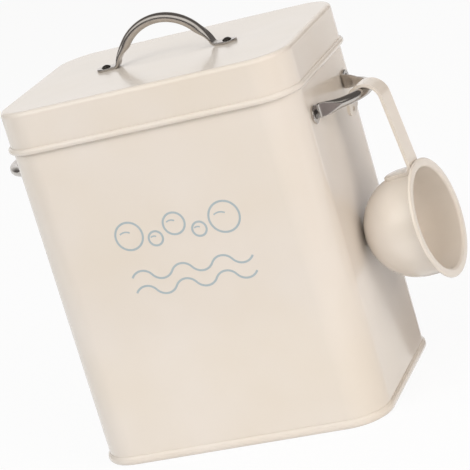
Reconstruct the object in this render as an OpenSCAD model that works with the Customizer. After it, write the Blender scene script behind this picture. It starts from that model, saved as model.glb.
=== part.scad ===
// Rectangular storage tin for laundry powder, drawn from thin enamelled sheet steel.
// A deep lid lifts off, three bow handles of forged wire are riveted on, and a
// measuring scoop hangs by its hooked stem from the bow on the right-hand side.
// X runs side to side, Y front to back and Z up. The origin is the middle of the
// base, on the plane that the tin stands on, and the front wall faces -Y.

/* [Body] */
// Width over the side walls
body_w = 190; // [165:1:240]
// Depth over the front and back walls
body_d = 145; // [130:1:190]
// Height of the closed tin, from the floor to the lid's top
tin_h = 237; // [190:1:300]
// Outside radius of the upright corners
corner_r = 23.5; // [14:0.5:26]
// Thickness of the body sheet
sheet_t = 0.5; // [0.3:0.05:0.8]
// Diameter of the inward curl round the mouth
curl_d = 3.2; // [2:0.1:4.5]
// Width of the lap joint down the inside of the back wall
lap_w = 6; // [4:0.5:12]

/* [Base] */
// Height of the rolled seam round the base
seam_h = 5.6; // [4.6:0.1:8]
// Distance that the seam stands out from the wall
seam_out = 1.7; // [1.4:0.1:2.6]
// Width of the seam's flat edges beyond the wall
seam_flat = 0.3; // [0.1:0.05:0.6]
// Height of the base plate's upper face over the floor
base_rise = 4.5; // [3:0.1:8]
// Thickness of the base sheet
base_t = 0.5; // [0.3:0.05:0.7]
// Height of the wall's hem inside the seam
hem_h = 3; // [2:0.1:3.4]

/* [Lid] */
// Thickness of the lid sheet
lid_t = 0.5; // [0.3:0.05:0.8]
// Height of the lid from the bead's lower edge to the top
lid_h = 27; // [18:0.5:40]
// Gap between the body wall and the skirt
lid_gap = 0.4; // [0.2:0.05:1]
// Gap between the mouth curl and the lid's top sheet
seat_gap = 0.3; // [0.2:0.05:1]
// Outside radius of the lid's top edge
lid_edge_r = 3; // [1.5:0.1:6]
// Radius of the rolled bead at the skirt's lower edge
bead_r = 2; // [1.2:0.1:3]
// Radius of the crevice where the roll meets the skirt
crevice_r = 0.35; // [0.2:0.05:0.6]

/* [Bow handles] */
// Width over a bow's limbs where they reach the surface
bow_span = 67; // [56:1:80]
// Height of a bow over the surface it is riveted to
bow_rise = 28; // [24:0.5:34]
// Width of the round bar at the crown
bow_w = 6.4; // [5.5:0.1:8]
// Thickness of the round bar at the crown
bow_t = 6.2; // [4:0.1:7]
// Width of the forged flat at the foot of a limb
limb_w = 9; // [7.5:0.1:11]
// Length of the forged flat, from the shoulder down to the foot
limb_flat = 1; // [0.5:0.5:6]
// Length of the wedge-shaped shoulder between the round bar and the flat
shoulder_len = 12; // [8:0.5:16]
// Width of a foot at its rivet
foot_w = 11.5; // [9:0.1:14]
// Length of a foot, from the bend to its tip
foot_len = 12.5; // [11:0.5:16]
// Thickness of the forged flat and the foot
foot_t = 1.7; // [1.2:0.1:2.4]
// Radius in the corner between a limb and its foot
foot_bend_r = 2.2; // [1:0.1:4]
// Distance from the lid's bead down to the middle of the side handles
handle_drop = 20.2; // [12:0.1:40]

/* [Rivets] */
// Distance from a foot's bend to its rivet
rivet_in = 6.3; // [5.5:0.1:8]
// Radius of a rivet's shank
rivet_r = 1.6; // [1.2:0.05:2]
// Radius of a rivet's domed head
head_r = 3; // [2.4:0.1:3.6]
// Height of a rivet's domed head
head_h = 1.6; // [1:0.1:2]
// Height of a rivet's closed end inside the sheet
tail_h = 1; // [0.6:0.1:1.6]
// Clearance round a rivet in its holes
rivet_gap = 0.05; // [0.02:0.01:0.1]

/* [Scoop cup] */
// Outside radius of the cup below its lip
cup_r = 33.4; // [26:0.2:40]
// Length of the straight wall between the lip and the round bottom
cup_straight = 15.3; // [8:0.1:24]
// Thickness of the cup's sheet
cup_t = 0.8; // [0.5:0.05:1.2]
// Width of the lip beyond the cup's wall
lip_out = 4.9; // [3.6:0.1:7]
// Radius of the turn from the wall into the lip
lip_turn_r = 1; // [0.6:0.1:1.4]
// Radius of the rolled edge of the lip
lip_bead_r = 1.1; // [0.8:0.05:1.5]

/* [Scoop handle] */
// Width of the strip
strip_w = 15; // [11:0.5:18]
// Thickness of the strip
strip_t = 2; // [1.4:0.1:2.6]
// Length of the stem from the cup's wall up to the middle of the hook
stem_len = 50; // [36:0.5:70]
// Gap between the stem and the back of the lip
lip_gap = 0.3; // [0.2:0.05:0.8]
// Length of the tab that lies along the cup
tab_len = 20; // [14:0.5:22]
// Radius of the tab's end corners
tab_end_r = 4; // [2:0.5:5]
// Radius in the corner between the stem and the tab
tab_fillet = 2.5; // [1.5:0.1:4]
// Gap for the weld between the tab and the cup
weld_gap = 0.05; // [0.02:0.01:0.1]
// Inside radius of the hook
hook_r = 10; // [8.5:0.1:13]
// Angle by which the hook's free end spreads
hook_open = 19; // [5:1:30]
// Length of the hook's free end beyond its bend
tip_len = 10.5; // [9:0.5:18]
// Amount by which the free end is pressed thinner and narrower on each side
tip_press = 0.05; // [0.03:0.01:0.2]
// Radius of the small hole near the hook's end
tip_hole_r = 1.5; // [1:0.1:2]
// Distance from the hook's end to the small hole
tip_hole_in = 4.5; // [3.5:0.1:6]

/* [Hanging] */
// Angle round the bow, towards the front, at which the hook hangs
scoop_turn = 6.7; // [0:0.1:15]
// Gap between the hook and the top of the bow
hook_gap = 0.3; // [0.1:0.05:0.6]
// Gap between the cup and the side wall that it leans on
lean_gap = 0.3; // [0.2:0.05:1]

/* [Hidden] */
$fn = 96;

cream = [0.91, 0.87, 0.81];
steel = [0.72, 0.71, 0.70];

// Heights of the mouth, of the lid's lower edge and of the hem in the base seam
mouth_z = tin_h - lid_t - seat_gap;
lid_z = tin_h - lid_h;
handle_z = lid_z - handle_drop;
hem_z = base_t + 0.4;

// Skirt radii at the lid's corners, and the lid's size over its skirt
skirt_ri = corner_r + lid_gap;
skirt_ro = skirt_ri + lid_t;
lid_w = body_w + 2*(lid_gap + lid_t);
lid_d = body_d + 2*(lid_gap + lid_t);

// Arc through a bow's crown and roots, and the bend from each limb into its foot
bow_r = (pow(bow_span/2, 2) + pow(bow_rise, 2)) / (2*bow_rise);
bow_cz = bow_rise - bow_r;
bend_z = foot_t + foot_bend_r;
bend_x = sqrt(pow(bow_r + foot_bend_r, 2) - pow(bend_z - bow_cz, 2));
bow_end = atan2(bend_x, bend_z - bow_cz);
rivet_x = bend_x + rivet_in;
rivet_hole_r = rivet_r + rivet_gap;

// Angles along the arc where the flat and its shoulder start
flat_a = bow_end - limb_flat/bow_r*180/PI;
shoulder_a = flat_a - shoulder_len/bow_r*180/PI;

// Share of the bar's thickness that lies outside its widest line, round and flat
crown_up = 0.5;
flat_up = 0.5;
// Squareness of the bar's section: outer side, inner side and forged flat
crown_pow = 2.1;
inner_pow = 2.4;
flat_pow = 6;
ring_n = 20;

// Distance from the rim's plane back to the stem's outer face
lip_back = 2*lip_bead_r + lip_gap;

// Middle of the hook beside the bow, then the angle at which the cup meets the wall
arc_x = body_w/2 + bow_cz;
hook_s = bow_r - crown_up*bow_t;
hook_z = handle_z + bow_w/2 + hook_gap - hook_r;
stem_s = hook_r + strip_t;
ball = [stem_s + lip_back - cup_straight, -stem_len - cup_r];
ball_s = (body_w/2 + lean_gap + cup_r - arc_x) / cos(scoop_turn);
hang_a = atan2(-ball[1], ball[0]) - acos((ball_s - hook_s) / norm(ball));

function mix(a, b, k) = a + (b - a)*k;
function ease(k) = let (c = max(0, min(1, k))) c*c*(3 - 2*c);
function signed_pow(v, p) = sign(v)*pow(abs(v), p);

// Rounded rectangle, made from true arcs
module rounded(w, d, r) {
    square([w - 2*r, d], center = true);
    square([w, d - 2*r], center = true);
    for (x = [-1, 1], y = [-1, 1])
        translate([x*(w/2 - r), y*(d/2 - r)]) circle(r);
}

// Sweeps a section round a rounded rectangle of outside size w by d. The section's
// x is its distance from the corner axes, so x = r lies on the outline.
module around(w, d, r) {
    for (side = [0:3]) {
        along = side % 2 == 0 ? d - 2*r : w - 2*r;
        out = (side % 2 == 0 ? w : d)/2 - r;
        rotate([0, 0, 90*side]) {
            translate([out, along/2, 0]) rotate([90, 0, 0])
                linear_extrude(along) children();
            translate([out, along/2, 0]) rotate_extrude(angle = 90) children();
        }
    }
}

// Body sheet: straight wall, curl round the mouth and hem inside the base seam
module wall_section() {
    translate([corner_r - sheet_t, base_t]) square([sheet_t, mouth_z - base_t - curl_d/2]);
    translate([corner_r - curl_d/2, mouth_z - curl_d/2]) circle(curl_d/2);
    translate([corner_r - sheet_t, hem_z]) square([2*sheet_t, hem_h]);
}

module tin_wall() {
    color(cream) difference() {
        union() {
            around(body_w, body_d, corner_r) wall_section();
            translate([-lap_w/2, body_d/2 - 2*sheet_t, base_rise])
                cube([lap_w, 1.5*sheet_t, mouth_z - curl_d/2 - base_rise]);
        }
        on_sides() rivet_holes();
    }
}

// Seam of the base sheet, folded out and up over the wall's hem
module base_section() {
    bulge = seam_out - seam_flat;
    bulge_r = (pow(seam_h/2, 2) + pow(bulge, 2)) / (2*bulge);
    leg_x = corner_r - sheet_t - base_t;
    difference() {
        union() {
            intersection() {
                translate([corner_r + seam_out - bulge_r, seam_h/2]) circle(bulge_r);
                translate([corner_r - sheet_t, 0]) square([sheet_t + seam_out, seam_h]);
            }
            translate([leg_x, 0]) square([base_t + sheet_t, base_t]);
            translate([leg_x, 0]) square([base_t, base_rise]);
        }
        translate([corner_r - sheet_t, base_t]) square([sheet_t, seam_h]);
        translate([corner_r - sheet_t, hem_z]) square([2*sheet_t, hem_h]);
    }
}

module base_plate() {
    inset = sheet_t + base_t/2;
    color(cream) {
        around(body_w, body_d, corner_r) base_section();
        translate([0, 0, base_rise - base_t]) linear_extrude(base_t)
            rounded(body_w - 2*inset, body_d - 2*inset, corner_r - inset);
    }
}

// Lid sheet: skirt, rounded top edge and outward roll with its crevice
module lid_section() {
    skirt_z = lid_z + bead_r;
    translate([skirt_ri, skirt_z]) square([lid_t, tin_h - lid_edge_r - skirt_z]);
    translate([skirt_ro - lid_edge_r, tin_h - lid_edge_r]) intersection() {
        difference() {
            circle(lid_edge_r);
            circle(lid_edge_r - lid_t);
        }
        square(lid_edge_r);
    }
    difference() {
        intersection() {
            translate([skirt_ro, skirt_z]) circle(bead_r);
            translate([skirt_ri, lid_z]) square([lid_t + bead_r, 2*bead_r]);
        }
        translate([skirt_ro + crevice_r, lid_z + 2*bead_r]) circle(crevice_r);
    }
}

module lid() {
    color(cream) difference() {
        union() {
            around(lid_w, lid_d, skirt_ro) lid_section();
            translate([0, 0, tin_h - lid_t]) linear_extrude(lid_t)
                rounded(lid_w - 2*lid_edge_r, lid_d - 2*lid_edge_r, skirt_ro - lid_edge_r);
        }
        on_lid() rivet_holes();
    }
}

// Stations from a bow's crown to the tip of one foot. Each is [x, z, normal x,
// normal z, half width, thickness, share outside, outer power, inner power], and
// x and z lie on the bar's widest line.
function bar(x, z, nx, nz, hw, t, k) =
    [x, z, nx, nz, hw, t, mix(crown_up, flat_up, k), mix(crown_pow, flat_pow, k),
     mix(inner_pow, flat_pow, k)];

function arc_station(a) =
    let (run = max(0, (a - shoulder_a)/(flat_a - shoulder_a)),
         k = (min(1, run) + ease(run))/2, t = mix(bow_t, foot_t, k),
         r = bow_r - mix(crown_up, flat_up, k)*t)
    bar(r*sin(a), bow_cz + r*cos(a), sin(a), cos(a), mix(bow_w, limb_w, k)/2, t, k);

function bend_station(a) =
    let (r = foot_bend_r + flat_up*foot_t)
    bar(bend_x - r*sin(a), bend_z - r*cos(a), sin(a), cos(a), limb_w/2, foot_t, 1);

function foot_station(x, hw) = bar(bend_x + x, foot_t - flat_up*foot_t, 0, 1, hw, foot_t, 1);

half_bow = concat(
    [for (i = [0:7]) arc_station(shoulder_a*i/8)],
    [for (i = [0:7]) arc_station(mix(shoulder_a, flat_a, i/8))],
    [for (i = [0:2]) arc_station(mix(flat_a, bow_end, i/2))],
    [for (i = [1:5]) bend_station(bow_end*(1 - i/5))],
    [for (i = [1:4]) foot_station(rivet_in*i/4, mix(limb_w, foot_w, ease(i/4))/2)],
    [for (b = [20, 40, 57, 71, 82])
        foot_station(rivet_in + (foot_len - rivet_in)*sin(b), foot_w/2*cos(b))]);

function mirrored(s) = [-s[0], s[1], -s[2], s[3], s[4], s[5], s[6], s[7], s[8]];

bow_stations = concat([for (i = [len(half_bow) - 1:-1:1]) mirrored(half_bow[i])], half_bow);

// Ring of points round the bar at one station
function ring(s) = [for (i = [0:ring_n - 1])
    let (a = 360*i/ring_n, up = sin(a) >= 0, p = 2/(up ? s[7] : s[8]),
         n = s[5]*(up ? s[6] : 1 - s[6])*signed_pow(sin(a), p))
    [s[0] + n*s[2], s[4]*signed_pow(cos(a), p), s[1] + n*s[3]]];

// One forged bow with its two feet, lofted in one run through all its stations
module bow() {
    m = len(bow_stations);
    sides = [for (i = [0:m - 2], j = [0:ring_n - 1])
        let (a = i*ring_n + j, b = i*ring_n + (j + 1) % ring_n)
        each [[a, b, a + ring_n], [b, b + ring_n, a + ring_n]]];
    ends = [[for (j = [ring_n - 1:-1:0]) j], [for (j = [0:ring_n - 1]) (m - 1)*ring_n + j]];
    polyhedron(points = [for (s = bow_stations) each ring(s)], faces = concat(sides, ends),
               convexity = 6);
}

module handle() {
    difference() {
        bow();
        rivet_holes();
    }
}

// Places what is drawn on a handle's own mounting plane
module on_lid() translate([0, 0, tin_h]) children();
module on_right() translate([body_w/2, 0, handle_z]) rotate([90, 0, 90]) children();
module on_left() mirror([1, 0, 0]) on_right() children();
module on_sides() {
    on_right() children();
    on_left() children();
}

module rivet_holes() {
    for (x = [-rivet_x, rivet_x])
        translate([x, 0, -4]) cylinder(h = 8, r = rivet_hole_r);
}

// Rivets through a handle's two feet and a sheet: domed head, shank, closed end
module rivet_pair(sheet) {
    dome_r = (pow(head_r, 2) + pow(head_h, 2)) / (2*head_h);
    for (x = [-rivet_x, rivet_x]) translate([x, 0, 0]) rotate_extrude() {
        intersection() {
            translate([0, foot_t + head_h - dome_r]) circle(dome_r);
            translate([0, foot_t]) square([head_r, head_h]);
        }
        translate([0, -sheet - tail_h]) square([rivet_r, foot_t + sheet + tail_h]);
        translate([0, -sheet - tail_h]) square([rivet_r + 0.9, tail_h]);
    }
}

module lid_handle() color(steel) on_lid() handle();
module left_handle() color(steel) on_left() handle();
module right_handle() color(steel) on_right() handle();
module lid_rivets() color(steel) on_lid() rivet_pair(lid_t);
module side_rivets() color(steel) on_sides() rivet_pair(sheet_t);

// Puts the hook's middle at the bow and leans the scoop until the cup meets the wall
module hung() {
    translate([arc_x, 0, 0]) rotate([0, 0, -scoop_turn])
        translate([hook_s, 0, hook_z]) rotate([0, -hang_a, 0]) children();
}

// From the cup's frame, rim centre at the origin and mouth towards +X, to the hook's
module at_cup() {
    translate([stem_s + lip_back, 0, -stem_len - cup_r]) children();
}

// Half section of the cup, axis upright and rim at the top
module cup_section() {
    turn_x = cup_r + lip_turn_r;
    turn_y = -cup_t - lip_turn_r;
    difference() {
        union() {
            translate([0, -cup_straight]) intersection() {
                circle(cup_r);
                translate([0, -cup_r]) square(cup_r);
            }
            translate([0, -cup_straight]) square([cup_r, cup_straight + turn_y]);
        }
        translate([0, -cup_straight]) circle(cup_r - cup_t);
        translate([0, -cup_straight]) square([cup_r - cup_t, cup_straight]);
    }
    translate([turn_x, turn_y]) intersection() {
        difference() {
            circle(lip_turn_r + cup_t);
            circle(lip_turn_r);
        }
        translate([-lip_turn_r - cup_t, 0]) square(lip_turn_r + cup_t);
    }
    translate([turn_x, -cup_t]) square([cup_r + lip_out - lip_bead_r - turn_x, cup_t]);
    translate([cup_r + lip_out - lip_bead_r, -lip_bead_r]) circle(lip_bead_r);
}

module scoop_cup() {
    color(cream) hung() at_cup() rotate([0, 90, 0]) rotate_extrude() cup_section();
}

// Outline of the cup's outside at a distance, as a section of a straight wall and a ball
module cup_outline(off) {
    translate([0, -cup_straight]) {
        circle(cup_r + off);
        square([cup_r + off, cup_straight]);
    }
}

// Section of the tab and of the fillet that runs up into the stem. x is the distance
// from the cup's axis and y runs towards the mouth.
module tab_section() {
    top_x = cup_r + weld_gap + strip_t;
    stem_y = -lip_back - strip_t;
    // The fillet meets the stem at a slight angle
    fillet_y = stem_y - 0.9*tab_fillet;
    intersection() {
        difference() {
            cup_outline(weld_gap + strip_t);
            cup_outline(weld_gap);
        }
        translate([cup_r/2, -lip_back - tab_len]) square([cup_r, tab_len]);
    }
    difference() {
        translate([top_x - strip_t/2, fillet_y])
            square([strip_t/2 + tab_fillet, stem_y + strip_t/2 - fillet_y]);
        translate([top_x + tab_fillet, fillet_y]) circle(tab_fillet);
    }
}

// Tab dished to the cup, with its fillet, drawn in the cup's frame
module tab() {
    spread = asin(strip_w/2/cup_r) + 3;
    intersection() {
        rotate([0, 90, 0]) rotate([0, 0, 180 - spread])
            rotate_extrude(angle = 2*spread) tab_section();
        translate([-lip_back - tab_len, 0, cup_r/2]) linear_extrude(cup_r) {
            translate([tab_end_r, -strip_w/2]) square([tab_len - tab_end_r, strip_w]);
            translate([0, tab_end_r - strip_w/2]) square([tab_end_r, strip_w - 2*tab_end_r]);
            for (y = [-1, 1])
                translate([tab_end_r, y*(strip_w/2 - tab_end_r)]) circle(tab_end_r);
        }
    }
}

// Pressed free end of the hook, with a full-round end and a small hole. It starts at
// depth start inside the bend and runs up from there.
module tip(start) {
    w = strip_w - 2*tip_press;
    round_z = tip_len - w/2;
    translate([tip_press, 0, 0]) rotate([90, 0, 90]) linear_extrude(strip_t - 2*tip_press)
        difference() {
            union() {
                translate([-w/2, -start]) square([w, round_z + start]);
                translate([0, round_z]) intersection() {
                    circle(w/2);
                    translate([-w/2, 0]) square([w, w/2]);
                }
            }
            translate([0, tip_len - tip_hole_in]) circle(tip_hole_r);
        }
}

module scoop_handle() {
    bend = 180 - hook_open;
    // The stem ends inside the tab's thickness, over its whole width
    tab_top = sqrt(pow(cup_r + weld_gap + strip_t, 2) - pow(strip_w/2, 2));
    stem_end = (cup_r + weld_gap + tab_top)/2 - cup_r;
    color(cream) hung() {
        translate([hook_r, -strip_w/2, stem_end - stem_len])
            cube([strip_t, strip_w, stem_len - stem_end]);
        rotate([90, 0, 0]) rotate_extrude(angle = bend)
            translate([hook_r, -strip_w/2]) square([strip_t, strip_w]);
        rotate([0, -bend, 0]) translate([hook_r, 0, 0]) tip(sqrt(stem_s*tip_press));
        at_cup() tab();
    }
}

tin_wall();
base_plate();
lid();
lid_handle();
lid_rivets();
left_handle();
right_handle();
side_rivets();
scoop_cup();
scoop_handle();
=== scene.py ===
from math import acos, asin, atan2, cos, degrees, hypot, pi, radians, sin, sqrt

import bmesh
import bpy
from bpy.props import FloatProperty, FloatVectorProperty, PointerProperty
from mathutils import Matrix, Vector


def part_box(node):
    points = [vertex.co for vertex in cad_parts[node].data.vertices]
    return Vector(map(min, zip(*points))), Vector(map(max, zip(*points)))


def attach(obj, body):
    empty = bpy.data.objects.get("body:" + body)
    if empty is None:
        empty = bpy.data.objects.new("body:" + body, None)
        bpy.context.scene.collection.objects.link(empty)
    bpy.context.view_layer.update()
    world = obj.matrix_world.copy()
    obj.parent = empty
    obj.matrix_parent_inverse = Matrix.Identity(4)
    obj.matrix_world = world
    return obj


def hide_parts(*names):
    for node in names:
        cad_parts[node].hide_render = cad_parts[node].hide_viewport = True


bl_info = {
    "name": "Enamel Storage Tin",
    "version": (1, 0, 0),
    "blender": (4, 5, 0),
    "location": "View3D > Sidebar > Storage Tin",
    "description": "Models a lidded enamel tin with bow handles and a hanging scoop",
    "category": "Add Mesh",
}

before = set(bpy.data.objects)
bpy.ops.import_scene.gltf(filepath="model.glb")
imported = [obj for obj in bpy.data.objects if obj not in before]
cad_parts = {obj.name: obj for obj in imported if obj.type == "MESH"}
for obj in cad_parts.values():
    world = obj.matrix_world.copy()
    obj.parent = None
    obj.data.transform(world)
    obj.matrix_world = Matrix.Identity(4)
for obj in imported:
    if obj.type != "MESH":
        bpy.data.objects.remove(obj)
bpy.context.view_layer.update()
WALL_LOW, WALL_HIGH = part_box("tin_wall")

NEAR = 1e-6  # Distance within which points count as one
CLEARANCE = 0.0003  # Gap between the scoop and what it hangs on or leans on
TAB_GAP = 0.00005  # Gap between the cup and the handle's tab
BAR_ROUND = (0.0031, 0.0029)  # Rounding of the round bar, outside and inside of the bow
FLAT_ROUND = 0.0006  # Rounding of the forged flat's edges
WEDGE_STEPS = 8


# --- Sizes and colours ---------------------------------------------------------


def length(name, description, default):
    return FloatProperty(name=name, description=description, default=default,
                         min=0.0, precision=5, unit="LENGTH", subtype="DISTANCE")


def turn(name, description, default):
    return FloatProperty(name=name, description=description,
                         default=radians(default), subtype="ANGLE")


def colour(name, description, default):
    return FloatVectorProperty(name=name, description=description, default=default,
                               size=4, min=0.0, max=1.0, subtype="COLOR")


class TinSizes(bpy.types.PropertyGroup):
    width: length("Width", "Width over the side walls", 0.190)
    depth: length("Depth", "Depth over the front and back walls", 0.145)
    height: length("Height", "Height of the closed tin over the floor", 0.237)
    corner: length("Corner radius", "Outside radius of the upright corners", 0.0235)
    sheet: length("Sheet", "Thickness of the sheet metal", 0.0005)
    mouth: length("Mouth height", "Height of the curled mouth over the floor", WALL_HIGH.z)
    curl: length("Mouth curl", "Diameter of the inward curl round the mouth", 0.0032)
    lap: length("Lap width", "Width of the lap joint inside the back wall", 0.006)
    seam_height: length("Seam height", "Height of the rolled seam round the base", 0.0056)
    seam_out: length("Seam depth", "Distance that the seam stands out", 0.0017)
    seam_flat: length("Seam flat", "Width of the seam's flat edges", 0.0003)
    base_rise: length("Base rise", "Height of the base plate's upper face", 0.0045)


class LidSizes(bpy.types.PropertyGroup):
    height: length("Height", "Height of the lid with its bead", 0.027)
    gap: length("Gap", "Gap between the wall and the skirt", 0.0004)
    edge: length("Edge radius", "Outside radius of the lid's top edge", 0.003)
    bead: length("Bead radius", "Radius of the rolled bead", 0.002)
    crevice: length("Crevice radius", "Radius of the groove over the bead", 0.00035)


class BowSizes(bpy.types.PropertyGroup):
    span: length("Span", "Width over the limbs where they reach the surface", 0.067)
    rise: length("Rise", "Height of the bow over its surface", 0.028)
    bar_width: length("Bar width", "Width of the round bar at the crown", 0.0064)
    bar_depth: length("Bar depth", "Thickness of the round bar at the crown", 0.0062)
    limb_width: length("Limb width", "Width of the forged flat", 0.009)
    limb_flat: length("Flat length", "Length of the forged flat", 0.001)
    shoulder: length("Shoulder", "Length of the wedge above the flat", 0.012)
    foot_width: length("Foot width", "Width of a foot at its rivet", 0.0115)
    foot_length: length("Foot length", "Length of a foot from the bend", 0.0125)
    foot_depth: length("Foot thickness", "Thickness of the flat and the foot", 0.0017)
    bend: length("Bend radius", "Radius between a limb and its foot", 0.0022)
    rivet_in: length("Rivet place", "Distance from the bend to the rivet", 0.0063)
    head: length("Rivet radius", "Radius of a rivet's head", 0.003)
    dome: length("Rivet height", "Height of a rivet's domed head", 0.0016)
    drop: length("Drop", "Distance from the lid's bead to the side handles", 0.0202)


class ScoopSizes(bpy.types.PropertyGroup):
    radius: length("Cup radius", "Outside radius of the cup", 0.0334)
    straight: length("Straight wall", "Straight wall between lip and bottom", 0.0153)
    sheet: length("Cup sheet", "Thickness of the cup", 0.0008)
    lip: length("Lip", "Width of the lip beyond the wall", 0.0049)
    lip_turn: length("Lip turn", "Radius of the turn into the lip", 0.001)
    lip_bead: length("Lip bead", "Radius of the lip's rolled edge", 0.0011)
    strip: length("Strip width", "Width of the handle's strip", 0.015)
    strip_depth: length("Strip thickness", "Thickness of the handle's strip", 0.002)
    stem: length("Stem", "Length from the cup's wall to the hook's middle", 0.050)
    tab: length("Tab", "Length of the tab along the cup", 0.020)
    tab_corner: length("Tab corners", "Radius of the tab's end corners", 0.004)
    fillet: length("Fillet", "Inside radius between stem and tab", 0.0025)
    hook: length("Hook radius", "Inside radius of the hook", 0.010)
    hook_open: turn("Hook opening", "Angle by which the free end spreads", 19.0)
    tip: length("Tip", "Length of the hook's free end", 0.0105)
    tip_hole: length("Tip hole", "Radius of the small hole in the tip", 0.0015)
    swing: turn("Turn on the bow", "Angle round the bow at which the hook hangs", 6.7)


class Finishes(bpy.types.PropertyGroup):
    cream: colour("Cream", "Colour of the enamel", (0.785, 0.73, 0.668, 1.0))
    warm: colour("Warm cream", "Colour of the enamel where it lies thicker",
                 (0.765, 0.70, 0.615, 1.0))
    nickel: colour("Nickel", "Colour of the plated handles", (0.55, 0.52, 0.49, 1.0))
    tarnish: colour("Dull nickel", "Colour of the plating's duller parts",
                    (0.40, 0.37, 0.33, 1.0))
    rivet: colour("Rivet steel", "Colour of the rivets", (0.20, 0.185, 0.17, 1.0))
    ink: colour("Ink", "Colour of the printed lines", (0.36, 0.45, 0.50, 1.0))


class StudioSizes(bpy.types.PropertyGroup):
    eye: FloatVectorProperty(name="Camera place", description="Where the camera stands",
                             default=(0.51025, -1.35356, 0.48987), size=3,
                             subtype="TRANSLATION")
    azimuth: turn("Azimuth", "Angle of the camera round the tin", 20.303)
    elevation: turn("Elevation", "Angle of the camera over the tin", 14.573)
    roll: turn("Roll", "Angle by which the picture leans", -16.624)
    focal: FloatProperty(name="Focal length", description="Focal length in millimetres",
                         default=179.58)


# --- Modelling helpers ---------------------------------------------------------


def begin(name, add=bpy.ops.mesh.primitive_plane_add, **values):
    """Adds a primitive as a new piece, applies its place and opens it in edit mode."""
    bpy.ops.object.select_all(action="DESELECT")
    add(**values)
    piece = bpy.context.object
    piece.name = piece.data.name = name
    apply_place(piece)
    bpy.ops.object.mode_set(mode="EDIT")
    bpy.ops.mesh.select_mode(type="VERT")
    bpy.ops.mesh.select_all(action="SELECT")
    return piece


def select(*pieces):
    bpy.ops.object.select_all(action="DESELECT")
    for piece in pieces:
        piece.select_set(True)
    bpy.context.view_layer.objects.active = pieces[0]


def apply_place(piece):
    select(piece)
    bpy.ops.object.transform_apply(location=True, rotation=True, scale=True)


def pick(test, mode="VERT"):
    """Selects what passes the test in edit mode, and nothing else."""
    bpy.ops.mesh.select_mode(type=mode)
    bpy.ops.mesh.select_all(action="DESELECT")
    mesh = bmesh.from_edit_mesh(bpy.context.object.data)
    for item in {"VERT": mesh.verts, "EDGE": mesh.edges, "FACE": mesh.faces}[mode]:
        if test(item):
            item.select_set(True)
    bmesh.update_edit_mesh(bpy.context.object.data)


def middle(item):
    return sum((v.co for v in item.verts), Vector()) / len(item.verts)


def slide(value):
    bpy.ops.mesh.extrude_region_move(TRANSFORM_OT_translate={"value": tuple(value)})


def spin(centre, axis, angle, steps):
    """Spins the selection anticlockwise round the axis."""
    bpy.ops.mesh.spin(steps=steps, angle=-angle, center=tuple(centre), axis=axis)


def move(value):
    bpy.ops.transform.translate(value=tuple(value))


def stretch(value, centre=(0, 0, 0)):
    bpy.ops.transform.resize(value=value, center_override=centre)


def modify(piece, kind, **settings):
    """Adds a modifier, sets it and applies it."""
    select(piece)
    bpy.ops.object.modifier_add(type=kind)
    modifier = piece.modifiers[-1]
    for name, value in settings.items():
        setattr(modifier, name, value)
    bpy.ops.object.modifier_apply(modifier=modifier.name)


def weld(distance=NEAR):
    bpy.ops.mesh.select_mode(type="VERT")
    bpy.ops.mesh.select_all(action="SELECT")
    bpy.ops.mesh.remove_doubles(threshold=distance)
    bpy.ops.mesh.normals_make_consistent(inside=False)


def close_edit():
    bpy.ops.object.mode_set(mode="OBJECT")


def smooth(piece, angle=35):
    """Smooth faces with crisp edges, where large flat faces keep their own normal."""
    select(piece)
    bpy.ops.object.shade_smooth_by_angle(angle=radians(angle))
    modify(piece, "WEIGHTED_NORMAL", keep_sharp=True, weight=60)


def copy_of(piece, name):
    select(piece)
    bpy.ops.object.duplicate(linked=False)
    twin = bpy.context.object
    twin.name = twin.data.name = name
    return twin


def join(name, *pieces):
    select(*pieces)
    bpy.ops.object.join()
    piece = bpy.context.object
    piece.name = piece.data.name = name
    return piece


def finish(piece, material, body, slot, *nodes):
    """Paints a piece and hands it to the frame."""
    piece.data.materials.clear()
    piece.data.materials.append(material)
    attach(piece, body)
    if nodes:
        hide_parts(*nodes)


class Pen:
    """Draws a profile by extruding and spinning one point."""

    def __init__(self, name, a, b, plane=lambda a, b: Vector((a, 0, b)), axis=(0, -1, 0)):
        self.plane, self.axis, self.at = plane, axis, (a, b)
        self.piece = begin(name, size=0.001)
        bpy.ops.mesh.merge(type="CENTER")
        bpy.ops.mesh.select_all(action="SELECT")
        move(plane(a, b))

    def line(self, a, b):
        slide(self.plane(a, b) - self.plane(*self.at))
        self.at = (a, b)

    def lines(self, *points):
        for point in points:
            self.line(*point)

    def arc(self, a, b, angle, steps=8):
        """Turns round (a, b), from the first direction towards the second."""
        spin(self.plane(a, b), self.axis, radians(angle), steps)
        da, db, t = self.at[0] - a, self.at[1] - b, radians(angle)
        self.at = (a + da * cos(t) - db * sin(t), b + da * sin(t) + db * cos(t))


def front_pen(name, depth, corner, a, b):
    """A pen in the plane x = 0 in front, where a is the distance out from the corner's axis."""
    return Pen(name, a, b, lambda a, b: Vector((0, corner - depth / 2 - a, b)), (-1, 0, 0))


def sweep_round(piece, width, depth, corner, steps=20):
    """Takes a front profile along half the front, round a corner and along half a side,
    then mirrors that quarter twice."""
    weld()
    slide((width / 2 - corner, 0, 0))
    spin((width / 2 - corner, corner - depth / 2, 0), (0, 0, 1), pi / 2, steps)
    slide((0, depth / 2 - corner, 0))
    weld()
    close_edit()
    modify(piece, "MIRROR", use_axis=(True, True, False), merge_threshold=NEAR)
    select(piece)
    bpy.ops.object.mode_set(mode="EDIT")
    weld()


def cover(height):
    """Fills the open loop at a height with one flat face."""
    pick(lambda e: e.is_boundary and all(abs(v.co.z - height) < NEAR for v in e.verts), "EDGE")
    bpy.ops.mesh.edge_face_add()


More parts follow.
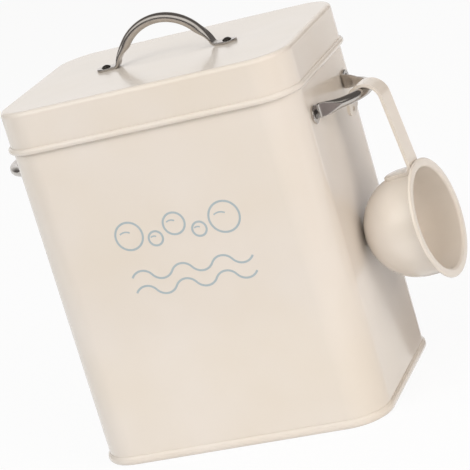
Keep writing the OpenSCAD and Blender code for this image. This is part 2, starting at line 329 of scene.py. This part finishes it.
def lathe(pen, axis, steps):
    weld()
    bpy.ops.mesh.select_all(action="SELECT")
    spin((0, 0, 0), axis, 2 * pi, steps)
    weld()
    close_edit()
    return pen.piece


# --- Materials -----------------------------------------------------------------


class Value:
    """A shader value: sums and products with it add Math nodes."""

    def __init__(self, paint, socket):
        self.paint, self.socket = paint, socket

    def maths(self, operation, first, second):
        return self.paint.value("ShaderNodeMath", {"operation": operation},
                                {0: first, 1: second})

    def __add__(self, other):
        return self.maths("ADD", self, other)

    __radd__ = __add__

    def __mul__(self, other):
        return self.maths("MULTIPLY", self, other)

    __rmul__ = __mul__


class Paint:
    """A material and its nodes."""

    def __init__(self, name, tree=None):
        if tree is None:
            self.material = bpy.data.materials.new(name)
            self.material.use_nodes = True
            tree = self.material.node_tree
        self.tree = tree
        self.tree.nodes.clear()

    def node(self, kind, settings=None, sockets=None):
        """Adds a node: its settings first, then the values or links of its sockets."""
        node = self.tree.nodes.new(kind)
        for name, value in (settings or {}).items():
            setattr(node, name, value)
        for name, value in (sockets or {}).items():
            if isinstance(value, Value):
                value = value.socket
            if isinstance(value, bpy.types.NodeSocket):
                self.tree.links.new(value, node.inputs[name])
            else:
                node.inputs[name].default_value = value
        return node

    def value(self, kind, settings=None, sockets=None, output=0):
        return Value(self, self.node(kind, settings, sockets).outputs[output])

    def place(self):
        return self.value("ShaderNodeTexCoord", output="Object")

    def noise(self, place, scale, detail=2.0, rough=0.5):
        return self.value("ShaderNodeTexNoise", {},
                          {"Vector": place, "Scale": scale, "Detail": detail,
                           "Roughness": rough})

    def blend(self, share, first, second):
        """Mixes two colours."""
        return self.value("ShaderNodeMix", {"data_type": "RGBA"},
                          {0: share, 6: first, 7: second}, output=2)

    def spread(self, value, low, high, to_low=0.0, to_high=1.0):
        return self.value("ShaderNodeMapRange", {"clamp": True},
                          {"Value": value, "From Min": low, "From Max": high,
                           "To Min": to_low, "To Max": to_high})

    def bump(self, height, distance, normal=None):
        sockets = {"Height": height, "Distance": distance, "Strength": 1.0}
        if normal:
            sockets["Normal"] = normal
        return self.value("ShaderNodeBump", {}, sockets)

    def shade(self, **sockets):
        """Ends the material in a Principled surface."""
        surface = self.node("ShaderNodeBsdfPrincipled", {},
                            {name.replace("_", " "): value
                             for name, value in sockets.items()})
        self.node("ShaderNodeOutputMaterial", {}, {"Surface": surface.outputs[0]})
        return self.material


def enamel(colours, name="cream_enamel", rough=0.20):
    """Glossy baked enamel: a faint drift of tone, soft waves of the sheet under it and
    the fine peel of the sprayed coat."""
    paint = Paint(name)
    place = paint.place()
    drift = paint.spread(paint.noise(place, scale=14.0, detail=2.0), 0.35, 0.7)
    tone = paint.blend(drift, tuple(colours.cream), tuple(colours.warm))
    waves = paint.bump(paint.noise(place, scale=19.0, detail=0.0), distance=0.00055)
    peel = paint.noise(place, scale=520.0, detail=1.0)
    cloud = paint.noise(place, scale=60.0, detail=3.0)
    relief = paint.bump(peel, distance=0.00001, normal=waves)
    return paint.shade(Base_Color=tone, Roughness=rough + 0.04 * cloud, Normal=relief,
                       IOR=1.5, Coat_Weight=0.35, Coat_Roughness=0.08)


def plating(colours, name="nickel_plating", rough=0.13, share=0.35, bright=None):
    """Plated or plain steel: a finely uneven surface and clouds where it is duller."""
    paint = Paint(name)
    place = paint.place()
    clouds = paint.spread(paint.noise(place, scale=240.0, detail=3.0, rough=0.6), 0.4, 0.75)
    tone = paint.blend(share * clouds, tuple(bright or colours.nickel), tuple(colours.tarnish))
    uneven = paint.bump(paint.noise(place, scale=130.0, detail=1.0), distance=0.00004)
    fine = paint.noise(place, scale=900.0, detail=2.0)
    relief = paint.bump(fine, distance=0.000006, normal=uneven)
    return paint.shade(Base_Color=tone, Metallic=1.0,
                       Roughness=rough + 0.14 * clouds, Normal=relief)


def print_ink(colours, name="print_ink"):
    """Thin baked ink, a little uneven where the screen laid it."""
    paint = Paint(name)
    place = paint.place()
    grain = paint.noise(place, scale=700.0, detail=2.0)
    tone = paint.blend(0.35 * grain, tuple(colours.ink), (0.60, 0.62, 0.60, 1.0))
    return paint.shade(Base_Color=tone, Roughness=0.35 + 0.1 * grain,
                       Normal=paint.bump(grain, distance=0.00001))


def named(name, make, *values, **more):
    """The material of that name, made on its first use."""
    return bpy.data.materials.get(name) or make(*values, name=name, **more)


# --- Pieces --------------------------------------------------------------------


class TIN_OT_body(bpy.types.Operator):
    """Adds the body sheet: four walls, the curled mouth and the lap inside the back"""

    bl_idname = "tin.body"
    bl_label = "Body"

    def execute(self, context):
        tin, colours = context.scene.tin, context.scene.tin_finishes
        outer, inner, curl = tin.corner, tin.corner - tin.sheet, tin.curl / 2
        floor, rim = 0.00055, tin.mouth - curl
        pen = front_pen("tin_body", tin.depth, tin.corner, outer, floor)
        pen.line(outer, rim)
        pen.arc(outer - curl, rim, 300, 22)
        pen.line(outer - curl + (curl - tin.sheet) * cos(radians(300)),
                 rim + (curl - tin.sheet) * sin(radians(300)))
        pen.arc(outer - curl, rim, -300, 16)
        pen.lines((inner, floor), (outer, floor))
        sweep_round(pen.piece, tin.width, tin.depth, tin.corner)
        low, high = tin.base_rise + 0.0001, rim
        bpy.ops.mesh.select_all(action="DESELECT")
        bpy.ops.mesh.primitive_cube_add(
            size=1, location=(0, tin.depth / 2 - tin.sheet * 1.5, (low + high) / 2),
            scale=(tin.lap, tin.sheet * 0.96, high - low))
        bpy.ops.mesh.bevel(offset=0.00018, segments=2)
        close_edit()
        smooth(pen.piece)
        finish(pen.piece, named("cream_enamel", enamel, colours), "tin", "enamel", "tin_wall")
        return {"FINISHED"}


class TIN_OT_base(bpy.types.Operator):
    """Adds the base sheet with the rolled seam round it"""

    bl_idname = "tin.base"
    bl_label = "Base"

    def execute(self, context):
        tin, colours = context.scene.tin, context.scene.tin_finishes
        wall, leg = tin.corner + 0.00003, tin.corner - 2 * tin.sheet
        edge, slot = tin.corner + tin.seam_flat, tin.corner - 1.04 * tin.sheet
        bulge = tin.seam_out - tin.seam_flat
        radius = ((tin.seam_height / 2) ** 2 + bulge ** 2) / (2 * bulge)
        half = degrees(asin(tin.seam_height / 2 / radius))
        pen = front_pen("tin_base", tin.depth, tin.corner, leg, tin.base_rise - tin.sheet)
        pen.lines((leg, 0), (edge, 0))
        pen.arc(tin.corner + tin.seam_out - radius, tin.seam_height / 2, 2 * half, 12)
        pen.lines((wall, tin.seam_height), (wall, tin.sheet), (slot, tin.sheet),
                  (slot, tin.base_rise))
        sweep_round(pen.piece, tin.width, tin.depth, tin.corner)
        cover(tin.base_rise)
        cover(tin.base_rise - tin.sheet)
        weld()
        close_edit()
        modify(pen.piece, "BEVEL", width=0.00012, segments=2, limit_method="ANGLE",
               angle_limit=radians(40))
        smooth(pen.piece)
        finish(pen.piece, named("cream_enamel", enamel, colours), "tin", "enamel", "base_plate")
        return {"FINISHED"}


class TIN_OT_lid(bpy.types.Operator):
    """Adds the lid: top sheet, rounded edge, skirt and the rolled bead with its groove"""

    bl_idname = "tin.lid"
    bl_label = "Lid"

    def execute(self, context):
        tin, lid = context.scene.tin, context.scene.tin_lid
        colours = context.scene.tin_finishes
        inner = tin.corner + lid.gap
        outer, low, top = inner + tin.sheet, tin.height - lid.height, tin.height
        spread = 2 * (lid.gap + tin.sheet)
        width, depth = tin.width + spread, tin.depth + spread
        bead, groove = low + lid.bead, lid.crevice
        pen = front_pen("tin_lid", depth, outer, outer - lid.edge, top)
        pen.arc(outer - lid.edge, top - lid.edge, -90, 10)
        pen.line(outer, bead + lid.bead)
        pen.arc(outer + groove, bead + lid.bead, 160, 8)
        lift = degrees(atan2(pen.at[1] - bead, pen.at[0] - outer))
        pen.arc(outer, bead, -lift - 90, 16)
        pen.lines((inner, low), (inner, top - lid.edge))
        pen.arc(inner + tin.sheet - lid.edge, top - lid.edge, 90, 8)
        sweep_round(pen.piece, width, depth, outer)
        cover(top)
        cover(top - tin.sheet)
        weld()
        close_edit()
        smooth(pen.piece, 50)
        finish(pen.piece, named("cream_enamel", enamel, colours), "lid", "enamel", "lid")
        return {"FINISHED"}


def bow_shape(bow):
    """Radius and centre of a bow's arc, its bend and the angles along it."""
    radius = ((bow.span / 2) ** 2 + bow.rise ** 2) / (2 * bow.rise)
    centre = bow.rise - radius
    bend_z = bow.foot_depth + bow.bend
    bend_x = sqrt((radius + bow.bend) ** 2 - (bend_z - centre) ** 2)
    end = atan2(bend_x, bend_z - centre)
    flat = end - bow.limb_flat / radius
    return radius, centre, bend_x, bend_z, end, flat, flat - bow.shoulder / radius


def bar_section(width, depth, top, upper, lower):
    """Adds the rounded section of a bar in the plane x = 0 and leaves its outline selected."""
    bpy.ops.mesh.select_all(action="DESELECT")
    bpy.ops.mesh.primitive_plane_add(size=1, rotation=(0, pi / 2, 0))
    stretch((1, width, depth))
    move((0, 0, top - depth / 2))
    for height, round_by in ((top, upper), (top - depth, lower)):
        pick(lambda v: abs(v.co.x) < NEAR and abs(v.co.z - height) < NEAR
             and abs(v.co.y) > width * 0.49)
        bpy.ops.mesh.bevel(offset=round_by, segments=6, affect="VERTICES")
    pick(lambda f: abs(middle(f).x) < NEAR, "FACE")
    bpy.ops.mesh.delete(type="ONLY_FACE")
    pick(lambda e: all(abs(v.co.x) < NEAR for v in e.verts), "EDGE")


def bow_piece(bow, name):
    """One forged bow over the plane z = 0, drawn as one half and mirrored."""
    centre, bend_x, bend_z, end, flat, shoulder = bow_shape(bow)[1:]
    axis, hub = (0, 1, 0), (0, 0, centre)
    piece = begin(name, size=0.001)
    bpy.ops.mesh.delete(type="VERT")
    # Forged flat, bend and foot
    bar_section(bow.limb_width, bow.foot_depth, bow.rise, FLAT_ROUND, FLAT_ROUND)
    bpy.ops.transform.rotate(value=-flat, orient_axis="Y", center_override=hub)
    spin(hub, axis, end - flat, 5)
    spin((bend_x, 0, bend_z), axis, -end, 8)
    width = bow.limb_width
    for i in range(1, 6):
        k = i / 5
        wide = bow.limb_width + (bow.foot_width - bow.limb_width) * k * k * (3 - 2 * k)
        slide((bow.rivet_in / 5, 0, 0))
        stretch((1, wide / width, 1))
        width = wide
    reach = 0.0
    for angle in (14, 28, 42, 54, 65, 75, 83):
        step = (bow.foot_length - bow.rivet_in) * sin(radians(angle))
        wide = bow.foot_width * cos(radians(angle))
        slide((step - reach, 0, 0))
        stretch((1, wide / width, 1))
        width, reach = wide, step
    bpy.ops.mesh.edge_face_add()

    def bridge(one, other):
        """Joins the open sections that stand at two angles round the hub, clear of the foot."""
        pick(lambda e: len(e.link_faces) < 2 and any(
            all(abs(atan2(v.co.x, v.co.z - centre) - angle) < 1e-3 and v.co.z > 0.0035
                for v in e.verts) for angle in (one, other)), "EDGE")
        bpy.ops.mesh.bridge_edge_loops(type="SINGLE")

    # Wedge between the flat and the round bar, then the crown's bar
    last = flat
    for i in range(WEDGE_STEPS - 1, -1, -1):
        run = i / WEDGE_STEPS
        k = (run + run * run * (3 - 2 * run)) / 2
        angle = shoulder + (flat - shoulder) * run
        bar_section(bow.bar_width + (bow.limb_width - bow.bar_width) * k,
                    bow.bar_depth + (bow.foot_depth - bow.bar_depth) * k, bow.rise,
                    *(r - (r - FLAT_ROUND) * k for r in BAR_ROUND))
        if i:
            bpy.ops.transform.rotate(value=-angle, orient_axis="Y", center_override=hub)
        else:
            spin(hub, axis, shoulder, 16)
        bridge(last, angle)
        last = angle
    weld()
    close_edit()
    modify(piece, "MIRROR", use_axis=(True, False, False), merge_threshold=1e-5)
    select(piece)
    bpy.ops.object.mode_set(mode="EDIT")
    weld()
    close_edit()
    smooth(piece, 45)
    return piece


def side_place(context, side):
    """The place on a side wall that stands for the plane z = 0 of a bow."""
    tin, lid, bow = context.scene.tin, context.scene.tin_lid, context.scene.tin_bow
    height = tin.height - lid.height - bow.drop
    return (Matrix.Translation((side * tin.width / 2, 0, height))
            @ Matrix.Rotation(side * pi / 2, 4, "Z") @ Matrix.Rotation(pi / 2, 4, "X"))


class TIN_OT_bows(bpy.types.Operator):
    """Adds the three bow handles, modelled once and copied"""

    bl_idname = "tin.bows"
    bl_label = "Bow handles"

    def execute(self, context):
        tin, colours = context.scene.tin, context.scene.tin_finishes
        metal = named("nickel_plating", plating, colours)
        first = bow_piece(context.scene.tin_bow, "lid_bow")
        for name, place, body, node in (
                ("right_bow", side_place(context, 1), "tin", "right_handle"),
                ("left_bow", side_place(context, -1), "tin", "left_handle"),
                ("lid_bow", Matrix.Translation((0, 0, tin.height)), "lid", "lid_handle")):
            piece = first if name == "lid_bow" else copy_of(first, name)
            piece.matrix_world = place
            apply_place(piece)
            finish(piece, metal, body, "plated_steel", node)
        return {"FINISHED"}


class TIN_OT_rivets(bpy.types.Operator):
    """Adds the six rivets: a domed head on each foot and a closed end inside the sheet"""

    bl_idname = "tin.rivets"
    bl_label = "Rivets"

    def execute(self, context):
        tin, bow = context.scene.tin, context.scene.tin_bow
        colours = context.scene.tin_finishes
        base, edge = bow.foot_depth, 0.00025
        dome = bow.dome - edge
        radius = (bow.head ** 2 + dome ** 2) / (2 * dome)
        pen = Pen("rivet_head", 0, base)
        pen.lines((bow.head - 0.0001, base), (bow.head, base + 0.0001),
                  (bow.head, base + edge))
        pen.arc(0, base + bow.dome - radius, degrees(asin(bow.head / radius)), 10)
        head = lathe(pen, (0, 0, 1), 36)
        inside = -tin.sheet
        pen = Pen("rivet_end", 0, inside - 0.00002)
        pen.lines((0.0024, inside - 0.00002), (0.0025, inside - 0.0003),
                  (0.0023, inside - 0.0008), (0.0017, inside - 0.001), (0, inside - 0.001))
        rivet = join("rivet", head, lathe(pen, (0, 0, 1), 36))
        smooth(rivet, 40)
        away = bow_shape(bow)[2] + bow.rivet_in
        groups = (("lid_rivet_pair", "lid", "lid_rivets",
                   [Matrix.Translation((0, 0, tin.height))]),
                  ("side_rivet_set", "tin", "side_rivets",
                   [side_place(context, 1), side_place(context, -1)]))
        metal = named("rivet_steel", plating, colours, rough=0.20, share=0.3,
                      bright=colours.rivet)
        for name, body, node, places in groups:
            parts = []
            for place in places:
                for side in (1, -1):
                    part = copy_of(rivet, name)
                    part.matrix_world = place @ Matrix.Translation((side * away, 0, 0))
                    apply_place(part)
                    parts.append(part)
            finish(join(name, *parts), metal, body, "plated_steel", node)
        bpy.data.objects.remove(rivet)
        return {"FINISHED"}


def hung_place(context):
    """Two places of the scoop, hooked over the right bow with its cup against the wall: one
    from the middle of the hook's bend and one from the middle of the cup's rim."""
    tin, lid, bow = context.scene.tin, context.scene.tin_lid, context.scene.tin_bow
    scoop = context.scene.tin_scoop
    radius, centre = bow_shape(bow)[:2]
    arc_x = tin.width / 2 + centre
    hook_s = radius - 0.5 * bow.bar_depth
    hook_z = (tin.height - lid.height - bow.drop + bow.bar_width / 2 + CLEARANCE
              - scoop.hook)
    back = 2 * scoop.lip_bead + CLEARANCE
    rim = Vector((scoop.hook + scoop.strip_depth + back, 0, -scoop.stem - scoop.radius))
    ball = (rim.x - scoop.straight, rim.z)
    ball_s = (tin.width / 2 + CLEARANCE + scoop.radius - arc_x) / cos(scoop.swing)
    hang = atan2(-ball[1], ball[0]) - acos((ball_s - hook_s) / hypot(*ball))
    hook = (Matrix.Translation((arc_x, 0, 0)) @ Matrix.Rotation(-scoop.swing, 4, "Z")
            @ Matrix.Translation((hook_s, 0, hook_z)) @ Matrix.Rotation(-hang, 4, "Y"))
    return hook, hook @ Matrix.Translation(rim)


class TIN_OT_scoop_cup(bpy.types.Operator):
    """Adds the round cup of the scoop with its flared, rolled lip"""

    bl_idname = "tin.scoop_cup"
    bl_label = "Scoop cup"

    def execute(self, context):
        scoop, colours = context.scene.tin_scoop, context.scene.tin_finishes
        radius, wall, bead, turned = scoop.radius, scoop.sheet, scoop.lip_bead, scoop.lip_turn
        ball, out = -scoop.straight, scoop.radius + scoop.lip - scoop.lip_bead
        back = -wall - turned
        meet = sqrt(bead ** 2 - (bead - wall) ** 2)
        pen = Pen("scoop_bowl", ball - radius, 0)
        pen.arc(ball, 0, -90, 24)
        pen.line(back, radius)
        pen.arc(back, radius + turned, 90, 6)
        pen.line(-wall, out - meet)
        start = degrees(atan2(-meet, bead - wall))
        pen.arc(-bead, out, -(360 + start), 18)
        pen.line(0, radius + turned)
        pen.arc(back, radius + turned, -90, 8)
        pen.line(ball, radius - wall)
        pen.arc(ball, 0, 90, 24)
        cup = lathe(pen, (1, 0, 0), 96)
        smooth(cup, 60)
        cup.matrix_world = hung_place(context)[1]
        apply_place(cup)
        finish(cup, named("cream_enamel", enamel, colours), "scoop", "enamel", "scoop_cup")
        return {"FINISHED"}


class TIN_OT_scoop_handle(bpy.types.Operator):
    """Adds the scoop's handle: one strip from the dished tab up to the open hook"""

    bl_idname = "tin.scoop_handle"
    bl_label = "Scoop handle"

    def execute(self, context):
        scoop, colours = context.scene.tin_scoop, context.scene.tin_finishes
        hook, rim = hung_place(context)
        corner = (hook.inverted() @ rim).translation
        half, face = scoop.strip / 2, scoop.hook + scoop.strip_depth
        low = corner.z + scoop.radius + TAB_GAP
        bend = scoop.fillet + scoop.strip_depth
        # Tab, with rounded corners at its end, dished to the cup
        tab = begin("scoop_strip", size=0.001)
        bpy.ops.mesh.merge(type="CENTER")
        bpy.ops.mesh.select_all(action="SELECT")
        wide, reach = scoop.strip - 2 * scoop.tab_corner, 0.0
        move((face - scoop.tab, -wide / 2, low + 0.001))
        slide((0, wide, 0))
        bpy.ops.mesh.select_all(action="SELECT")
        bpy.ops.mesh.subdivide(number_cuts=15)
        for angle in (15, 30, 45, 60, 75, 90):
            step = scoop.tab_corner * (1 - cos(radians(angle)))
            now = scoop.strip - 2 * scoop.tab_corner * (1 - sin(radians(angle)))
            slide((step - reach, 0, 0))
            stretch((1, now / wide, 1))
            wide, reach = now, step
        rows = 6
        for row in range(rows):
            slide(((scoop.tab - bend - scoop.tab_corner) / rows, 0, 0))
        close_edit()
        dish = Pen("dish", -scoop.straight - scoop.radius, 0)
        dish.arc(-scoop.straight, 0, -90, 48)
        dish.line(0, scoop.radius)
        dish = lathe(dish, (1, 0, 0), 192)
        dish.matrix_world = Matrix.Translation(corner)
        apply_place(dish)
        modify(tab, "SHRINKWRAP", target=dish, wrap_method="PROJECT", use_project_z=True,
               use_negative_direction=True, use_positive_direction=False, offset=TAB_GAP)
        bpy.data.objects.remove(dish)
        # Bend, where the dish runs out, then stem, hook and free end
        select(tab)
        bpy.ops.object.mode_set(mode="EDIT")
        pick(lambda e: all(v.co.x > face - bend - 1e-5 for v in e.verts), "EDGE")
        hub, sag = Vector((face - bend, 0, low + bend)), 1.0
        for i in range(1, 9):
            angle, keep = pi / 2 * i / 8, 1 - (i / 8) ** 2 * (3 - 2 * i / 8)
            spin(hub, (0, -1, 0), pi / 16, 1)
            point = hub + bend * Vector((sin(angle), 0, -cos(angle)))
            stretch((keep / sag, 1, keep / sag), point)
            sag = max(keep, 1e-9)
        slide((0, 0, -low - bend))
        arc = pi - scoop.hook_open
        spin((0, 0, 0), (0, -1, 0), arc, 24)
        along = Vector((-sin(arc), 0, cos(arc)))
        slide(along * (scoop.tip - half))
        wide, reach = scoop.strip, 0.0
        for angle in (12, 24, 36, 47, 57, 66, 74, 81, 86):
            step, now = half * sin(radians(angle)), scoop.strip * cos(radians(angle))
            slide(along * (step - reach))
            stretch((1, now / wide, 1))
            wide, reach = now, step
        weld()
        mesh = bmesh.from_edit_mesh(tab.data)
        stem = max(mesh.faces, key=lambda f: f.calc_area())
        if stem.normal.x < 0:
            bpy.ops.mesh.select_all(action="SELECT")
            bpy.ops.mesh.flip_normals()
        close_edit()
        modify(tab, "SOLIDIFY", thickness=scoop.strip_depth, offset=-1, use_even_offset=True)
        modify(tab, "BEVEL", width=0.00045, segments=3, limit_method="ANGLE",
               angle_limit=radians(50))
        # Small hole near the hook's end
        ray = Vector((cos(arc), 0, sin(arc)))
        place = ray * (face - scoop.strip_depth / 2) + along * (scoop.tip - 0.0045)
        drill = begin("drill", bpy.ops.mesh.primitive_cylinder_add, vertices=40,
                      radius=scoop.tip_hole, depth=0.008, location=place,
                      rotation=ray.to_track_quat("Z", "Y").to_euler())
        close_edit()
        modify(tab, "BOOLEAN", object=drill, operation="DIFFERENCE", solver="EXACT")
        bpy.data.objects.remove(drill)
        tab.matrix_world = hook
        apply_place(tab)
        smooth(tab, 40)
        finish(tab, named("cream_enamel", enamel, colours), "scoop", "enamel",
               "scoop_handle")
        return {"FINISHED"}


def printed_ring(name, x, y, z, radius, width):
    ring = begin(name, bpy.ops.mesh.primitive_circle_add, vertices=64, radius=radius,
                 location=(x, y, z), rotation=(pi / 2, 0, 0))
    slide((0, 0, 0))
    inner = 1 - width / radius
    stretch((inner, 1, inner), (x, y, z))
    close_edit()
    return ring


def printed_wave(name, x, y, z, radius, half, count, width):
    """A wavy ribbon of arcs that turn one way and then the other, each over twice an angle."""
    wave = begin(name, size=0.001)
    bpy.ops.mesh.merge(type="CENTER")
    bpy.ops.mesh.select_all(action="SELECT")
    rise = radius * cos(half)
    ray = Vector((-sin(half), 0, cos(half)))
    move(Vector((x + radius * sin(half), y, z - rise)) + ray * (radius - width / 2))
    slide(ray * width)
    bpy.ops.mesh.select_all(action="SELECT")
    for i in range(count):
        side = 1 if i % 2 == 0 else -1
        spin((x + (2 * i + 1) * radius * sin(half), y, z - side * rise), (0, -1, 0),
             -side * 2 * half, 16)
    close_edit()
    return wave


class TIN_OT_print(bpy.types.Operator):
    """Adds the plain printed ornament in front: a row of bubbles over two waves"""

    bl_idname = "tin.front_print"
    bl_label = "Front print"

    def execute(self, context):
        tin, colours = context.scene.tin, context.scene.tin_finishes
        y, width = -tin.depth / 2 - 0.00001, 0.0013
        parts = []
        for x, z, radius in ((-30, 147, 9.5), (-13.5, 142.5, 5.2), (0.5, 149.5, 7.6),
                             (15.5, 143, 5.2), (33, 147.5, 10.5)):
            parts.append(printed_ring("bubble", x / 1000, y, z / 1000, radius / 1000, width))
            glint = 0.62 * radius / 1000
            parts.append(printed_wave("glint", x / 1000 - glint * 0.94, y,
                                      z / 1000 + glint * 0.34, glint, radians(34), 1,
                                      width * 0.7))
        for z in (0.1205, 0.1105):
            parts.append(printed_wave("wave", -0.036, y, z, 0.0080, radians(56), 6, width))
        ornament = join("front_ornament", *parts)
        select(ornament)
        bpy.ops.object.mode_set(mode="EDIT")
        weld(1e-7)
        mesh = bmesh.from_edit_mesh(ornament.data)
        for face in mesh.faces:
            face.select_set(face.normal.y > 0)
        bmesh.update_edit_mesh(ornament.data)
        bpy.ops.mesh.flip_normals()
        close_edit()
        modify(ornament, "SOLIDIFY", thickness=0.00003, offset=1)
        finish(ornament, named("print_ink", print_ink, colours), "tin", "enamel")
        return {"FINISHED"}


def lamp(name, place, aim, size, power, tint=(1, 1, 1)):
    bpy.ops.object.light_add(type="AREA", location=place)
    light = bpy.context.object
    light.name = name
    light.rotation_euler = (Vector(aim) - Vector(place)).to_track_quat("-Z", "Y").to_euler()
    light.data.shape = "RECTANGLE"
    light.data.size, light.data.size_y = size
    light.data.energy = power
    light.data.color = tint
    light.visible_camera = light.visible_glossy = False


def reflection_card(name, corners):
    """A dark card on the floor that neither the camera, the diffuse light nor the shadows see:
    it is only a painted dark reflection.
    """
    card = begin(name, size=0.001)
    bpy.ops.mesh.merge(type="CENTER")
    at = Vector((0, 0, 0))
    for i, corner in enumerate(corners):
        to = Vector((*corner, 0.0006))
        (slide if i else move)(to - at)
        at = to
    bpy.ops.mesh.select_all(action="SELECT")
    bpy.ops.mesh.edge_face_add()
    bpy.ops.mesh.normals_make_consistent(inside=False)
    close_edit()
    # Grey of the painted dark reflection
    reflection_grey = (0.32, 0.29, 0.30, 1)
    card.data.materials.append(Paint(name).shade(Base_Color=reflection_grey, Roughness=0.6))
    card.visible_camera = card.visible_diffuse = card.visible_shadow = False


class TIN_OT_studio(bpy.types.Operator):
    """Adds the pale floor, the soft lamps, the surroundings, two dark cards that only paint
    dark reflections, and the camera
    """

    bl_idname = "tin.studio"
    bl_label = "Studio"

    def execute(self, context):
        scene, studio = context.scene, context.scene.tin_studio
        floor = begin("floor", bpy.ops.mesh.primitive_circle_add, vertices=96, radius=7,
                      fill_type="NGON")
        close_edit()
        paint = Paint("white_floor")
        matt = paint.node("ShaderNodeBsdfDiffuse", {}, {"Color": (0.86, 0.86, 0.86, 1)})
        glow = paint.node("ShaderNodeEmission", {}, {"Color": (1, 1, 1, 1), "Strength": 1.0})
        ray = paint.node("ShaderNodeLightPath")
        # The floor is nearly white where it is seen, and still takes a faint shadow
        seen = sum((Value(paint, ray.outputs[name]) for name in
                    ("Is Glossy Ray", "Is Transmission Ray")),
                   Value(paint, ray.outputs["Is Camera Ray"]))
        mix = paint.node("ShaderNodeMixShader", {}, {0: 0.92 * seen, 1: matt.outputs[0],
                                                     2: glow.outputs[0]})
        paint.node("ShaderNodeOutputMaterial", {}, {"Surface": mix.outputs[0]})
        floor.data.materials.append(paint.material)

        world = bpy.data.worlds.new("studio")
        scene.world = world
        world.use_nodes = True
        room = Paint("studio", world.node_tree)
        way = room.node("ShaderNodeSeparateXYZ", {}, {
            0: room.value("ShaderNodeTexCoord", output="Generated")})
        x, y, z = (Value(room, way.outputs[part]) for part in "XYZ")
        # A pale wall low down behind on the left, a bright screen in front, and dusk between
        wall = (room.spread(y, 0.35, 0.75) * room.spread(z, 0.62, 0.30)
                * room.spread(x, 0.28, 0.08))
        screen = (room.spread(y, -0.15, -0.5) * room.spread(z, 0.26, 0.38)
                  * room.spread(z, 0.92, 0.82))
        tone = room.blend(wall, (0.15, 0.14, 0.135, 1), (0.98, 0.96, 0.95, 1))
        tone = room.blend(screen, tone, (1.05, 1.03, 1.0, 1))
        sky = room.node("ShaderNodeBackground", {}, {"Color": tone, "Strength": 1.0})
        room.node("ShaderNodeOutputWorld", {}, {"Surface": sky.outputs[0]})

        aim = (0, 0, 0.12)
        lamp("key", (-0.72, -1.63, 1.73), aim, (1.8, 1.7), 20)
        lamp("side_fill", (1.9, -0.9, 1.1), aim, (1.5, 1.5), 16, (1, 0.90, 0.82))
        lamp("low_fill", (1.3, -0.9, 0.25), aim, (1.2, 0.4), 3, (1, 0.90, 0.80))
        lamp("overhead", (0, 0.2, 1.9), aim, (1.4, 1.0), 7.5)
        # Painted dark reflection in front: the handles and walls mirror this grey card instead
        # of the white floor
        reflection_card("front_dark_reflection", ((-2.0, -3.0), (3.0, -3.0), (3.0, -0.32), (-2.0, -0.32)))
        # Painted reflection of the tin's own shadow on the floor, behind on the right, which
        # darkens the rear of the right wall
        reflection_card("painted_shadow_reflection", ((0.10, 0.035), (0.55, 1.25), (0.60, 1.65), (0.10, 0.11)))

        bpy.ops.object.camera_add(location=studio.eye)
        camera = context.object
        camera.name = "camera"
        camera.rotation_euler = (Matrix.Rotation(studio.azimuth, 3, "Z")
                                 @ Matrix.Rotation(pi / 2 - studio.elevation, 3, "X")
                                 @ Matrix.Rotation(studio.roll, 3, "Z")).to_euler()
        camera.data.lens, camera.data.sensor_width = studio.focal, 36
        camera.data.clip_start, camera.data.clip_end = 0.05, 40
        scene.camera = camera
        scene.view_settings.view_transform = "Standard"
        return {"FINISHED"}


class TIN_PT_panel(bpy.types.Panel):
    """Lists the tin's pieces and the studio"""

    bl_label = "Storage Tin"
    bl_idname = "TIN_PT_panel"
    bl_space_type = "VIEW_3D"
    bl_region_type = "UI"
    bl_category = "Storage Tin"

    def draw(self, context):
        for operator in OPERATORS:
            self.layout.operator(operator.bl_idname)
        for name in GROUPS:
            box = self.layout.box()
            group = getattr(context.scene, name)
            for value in group.bl_rna.properties.keys()[2:]:
                box.prop(group, value)


# --- Run -----------------------------------------------------------------------

OPERATORS = (TIN_OT_studio, TIN_OT_body, TIN_OT_base, TIN_OT_lid, TIN_OT_bows,
             TIN_OT_rivets, TIN_OT_scoop_cup, TIN_OT_scoop_handle, TIN_OT_print)
GROUPS = {"tin": TinSizes, "tin_lid": LidSizes, "tin_bow": BowSizes,
          "tin_scoop": ScoopSizes, "tin_finishes": Finishes, "tin_studio": StudioSizes}


def register():
    for kind in (*GROUPS.values(), *OPERATORS, TIN_PT_panel):
        bpy.utils.register_class(kind)
    for name, group in GROUPS.items():
        setattr(bpy.types.Scene, name, PointerProperty(type=group))


def unregister():
    for name in GROUPS:
        delattr(bpy.types.Scene, name)
    for kind in reversed((*GROUPS.values(), *OPERATORS, TIN_PT_panel)):
        bpy.utils.unregister_class(kind)


def main():
    register()
    for operator in OPERATORS:
        group, name = operator.bl_idname.split(".")
        getattr(getattr(bpy.ops, group), name)()


if __name__ == "__main__":
    main()
